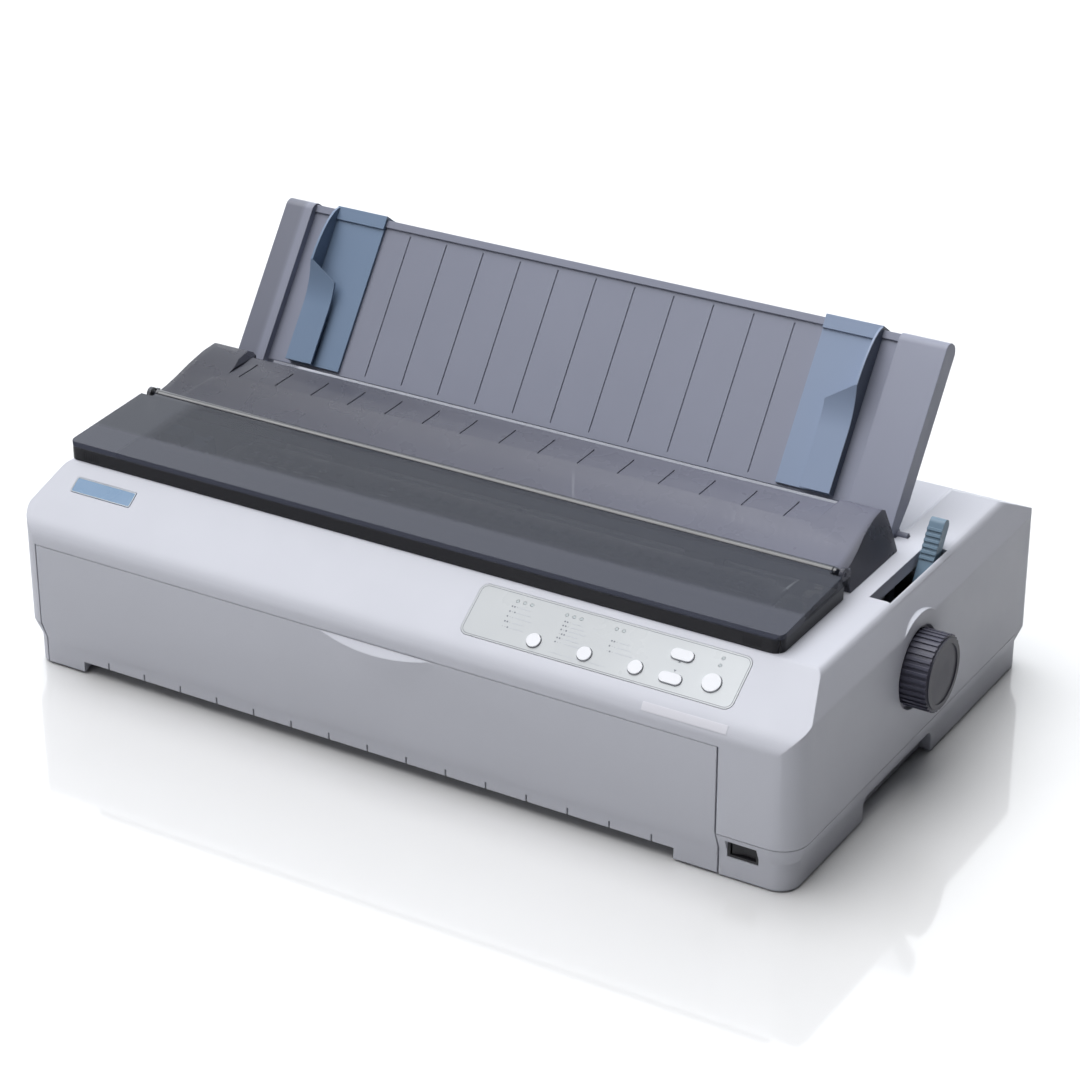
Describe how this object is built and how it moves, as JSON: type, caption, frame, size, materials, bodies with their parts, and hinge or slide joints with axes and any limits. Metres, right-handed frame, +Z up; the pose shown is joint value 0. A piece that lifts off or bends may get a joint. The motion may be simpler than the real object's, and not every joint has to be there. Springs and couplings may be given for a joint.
{
  "type": "dot matrix printer",
  "caption": "Wide desktop impact printer with hinged smoky covers, leaning paper guide, drop-down front flap, side knob and a full print mechanism inside.",
  "frame": {"origin": "middle of the object seen from above, on the surface it stands on", "axes": "+X to the right seen from the front and along the width, +Y to the rear, +Z up"},
  "size_m": [0.639, 0.38, 0.2602],
  "materials": {
    "case_plastic": "fine-grained matt moulding, light grey",
    "panel_plastic": "smooth satin plate, warm white",
    "button_plastic": "satin light grey",
    "lamp_plastic": "small clear green lamps",
    "circuit_board": "green circuit board",
    "black_plastic": "dark charcoal, satin",
    "blue_plastic": "muted blue, satin",
    "smoky_clear": "smoky see-through cover, glossy",
    "dark_clear": "dark see-through tension unit",
    "guide_plastic": "satin slate grey",
    "steel": "plated sheet",
    "chrome_rod": "ground and polished",
    "cast_metal": "cast, dull",
    "brass": "turned",
    "gear_plastic": "natural acetal",
    "ribbon_cloth": "inked ribbon",
    "rubber": "matt black"
  },
  "bodies": {
    "case": {"lower_case": "case_plastic", "upper_case": "case_plastic", "rubber_feet": "rubber", "case_screws": "steel", "control_panel": "panel_plastic", "panel_lamps": "lamp_plastic", "panel_board": "circuit_board", "switch_body": "black_plastic", "badge_plate": "blue_plastic", "platen_bushes": "gear_plastic", "frame_left": "steel", "frame_right": "steel", "shaft_bracket": "steel", "front_rail": "steel", "carriage_rod": "chrome_rod", "ribbon_cartridge": "black_plastic", "ribbon": "ribbon_cloth", "timing_belt": "rubber", "carriage_motor": "cast_metal", "feed_motor": "cast_metal", "tractor_rod": "steel", "tension_unit": "dark_clear", "main_board": "circuit_board", "power_supply": "steel", "connector_plate": "steel", "connectors": "steel", "mains_inlet": "black_plastic"},
    "flap": {"front_flap": "case_plastic"},
    "rocker": {"switch_rocker": "black_plastic"},
    "window": {"window_cover": "smoky_clear", "hinge_bar": "smoky_clear"},
    "top_cover": {"top_cover": "smoky_clear"},
    "guide": {"paper_guide": "guide_plastic"},
    "edge_left": {"edge_guide_left": "blue_plastic"},
    "edge_right": {"edge_guide_right": "blue_plastic"},
    "release": {"release_lever": "blue_plastic", "release_shaft": "steel"},
    "platen": {"platen_roller": "rubber", "platen_shaft": "steel", "platen_gear": "gear_plastic", "platen_knob": "guide_plastic"},
    "pinion": {"feed_pinion": "brass"},
    "reduction": {"reduction_gear": "gear_plastic"},
    "idler": {"tractor_idler": "gear_plastic"},
    "tractor_drive": {"tractor_shaft": "steel", "tractor_gear": "gear_plastic"},
    "tractor_l": {"tractor_left": "black_plastic"},
    "tractor_r": {"tractor_right": "black_plastic"},
    "head_carriage": {"carriage": "black_plastic", "print_head": "cast_metal"},
    "drive_wheel": {"drive_pulley": "gear_plastic"},
    "idle_wheel": {"idler_pulley": "gear_plastic"},
    "ribbon_dial": {"ribbon_knob": "blue_plastic"},
    "gap_arm": {"gap_lever": "blue_plastic"},
    "key_font": {"button_font": "button_plastic"},
    "key_pitch": {"button_pitch": "button_plastic"},
    "key_bin": {"button_bin": "button_plastic"},
    "key_load": {"button_load": "button_plastic"},
    "key_feed": {"button_feed": "button_plastic"},
    "key_pause": {"button_pause": "button_plastic"}
  },
  "joints": [
    {"name": "top_cover_lift", "type": "slide", "parent": "case", "child": "top_cover", "axis": [0, 0, 1], "range_m": [0, 0.06]},
    {"name": "window_hinge", "type": "hinge", "parent": "top_cover", "child": "window", "pos_m": [-0.0095, -0.0407, 0.1594], "axis": [-1, 0, 0], "range_deg": [0, 95]},
    {"name": "flap_hinge", "type": "hinge", "parent": "case", "child": "flap", "pos_m": [-0.0095, -0.173, 0.012], "axis": [1, 0, 0], "range_deg": [0, 80]},
    {"name": "guide_tilt", "type": "hinge", "parent": "case", "child": "guide", "pos_m": [-0.0095, 0.06, 0.1436], "axis": [-1, 0, 0], "range_deg": [0, 44]},
    {"name": "edge_left_slide", "type": "slide", "parent": "guide", "child": "edge_left", "axis": [1, 0, 0], "range_m": [-0.018, 0.15]},
    {"name": "edge_right_slide", "type": "slide", "parent": "guide", "child": "edge_right", "axis": [1, 0, 0], "range_m": [-0.15, 0.012]},
    {"name": "release_swing", "type": "hinge", "parent": "case", "child": "release", "pos_m": [0.2805, 0.0103, 0.085], "axis": [1, 0, 0], "range_deg": [0, 60]},
    {"name": "platen_turn", "type": "hinge", "parent": "case", "child": "platen", "pos_m": [-0.0095, -0.01, 0.0885], "axis": [1, 0, 0], "continuous": true},
    {"name": "reduction_turn", "type": "hinge", "parent": "case", "child": "reduction", "pos_m": [0.2095, -0.01, 0.05635], "axis": [1, 0, 0], "continuous": true},
    {"name": "pinion_turn", "type": "hinge", "parent": "case", "child": "pinion", "pos_m": [0.2095, 0.01265, 0.04328], "axis": [1, 0, 0], "continuous": true},
    {"name": "idler_turn", "type": "hinge", "parent": "case", "child": "idler", "pos_m": [0.2015, 0.02615, 0.0885], "axis": [1, 0, 0], "continuous": true},
    {"name": "tractor_turn", "type": "hinge", "parent": "case", "child": "tractor_drive", "pos_m": [-0.0095, 0.0553, 0.0885], "axis": [1, 0, 0], "continuous": true},
    {"name": "tractor_left_slide", "type": "slide", "parent": "case", "child": "tractor_l", "axis": [1, 0, 0], "range_m": [-0.04, 0.12]},
    {"name": "tractor_right_slide", "type": "slide", "parent": "case", "child": "tractor_r", "axis": [1, 0, 0], "range_m": [-0.1, 0.06]},
    {"name": "carriage_slide", "type": "slide", "parent": "case", "child": "head_carriage", "axis": [1, 0, 0], "range_m": [0, 0.345]},
    {"name": "drive_wheel_turn", "type": "hinge", "parent": "case", "child": "drive_wheel", "pos_m": [-0.2315, -0.077, 0.05], "axis": [0, 0, 1], "continuous": true},
    {"name": "idle_wheel_turn", "type": "hinge", "parent": "case", "child": "idle_wheel", "pos_m": [0.1725, -0.077, 0.05], "axis": [0, 0, 1], "continuous": true},
    {"name": "ribbon_dial_turn", "type": "hinge", "parent": "case", "child": "ribbon_dial", "pos_m": [-0.2045, -0.07, 0.115], "axis": [0, 0, 1], "continuous": true},
    {"name": "gap_arm_swing", "type": "hinge", "parent": "case", "child": "gap_arm", "pos_m": [-0.2585, -0.035, 0.092], "axis": [1, 0, 0], "range_deg": [-8, 8]},
    {"name": "power_rocker_tip", "type": "hinge", "parent": "case", "child": "rocker", "pos_m": [0.26125, -0.1741, 0.0225], "axis": [0, 0, 1], "range_deg": [0, 10]},
    {"name": "press_font", "type": "slide", "parent": "case", "child": "key_font", "axis": [0, 0.5678, -0.8231], "range_m": [0, 0.001], "stiffness_N_per_m": 200, "springref_m": -0.001},
    {"name": "press_pitch", "type": "slide", "parent": "case", "child": "key_pitch", "axis": [0, 0.5678, -0.8231], "range_m": [0, 0.001], "stiffness_N_per_m": 200, "springref_m": -0.001},
    {"name": "press_bin", "type": "slide", "parent": "case", "child": "key_bin", "axis": [0, 0.5678, -0.8231], "range_m": [0, 0.001], "stiffness_N_per_m": 200, "springref_m": -0.001},
    {"name": "press_load", "type": "slide", "parent": "case", "child": "key_load", "axis": [0, 0.5678, -0.8231], "range_m": [0, 0.001], "stiffness_N_per_m": 200, "springref_m": -0.001},
    {"name": "press_feed", "type": "slide", "parent": "case", "child": "key_feed", "axis": [0, 0.5678, -0.8231], "range_m": [0, 0.001], "stiffness_N_per_m": 200, "springref_m": -0.001},
    {"name": "press_pause", "type": "slide", "parent": "case", "child": "key_pause", "axis": [0, 0.5678, -0.8231], "range_m": [0, 0.001], "stiffness_N_per_m": 200, "springref_m": -0.001}
  ],
  "couplings": [
    {"joint": "reduction_turn", "follows": "platen_turn", "ratio": -3},
    {"joint": "pinion_turn", "follows": "platen_turn", "ratio": 10},
    {"joint": "idler_turn", "follows": "platen_turn", "ratio": -2},
    {"joint": "tractor_turn", "follows": "platen_turn", "ratio": 1.4118},
    {"joint": "drive_wheel_turn", "follows": "carriage_slide", "rad_per_m": -144.93},
    {"joint": "idle_wheel_turn", "follows": "carriage_slide", "rad_per_m": -144.93}
  ]
}
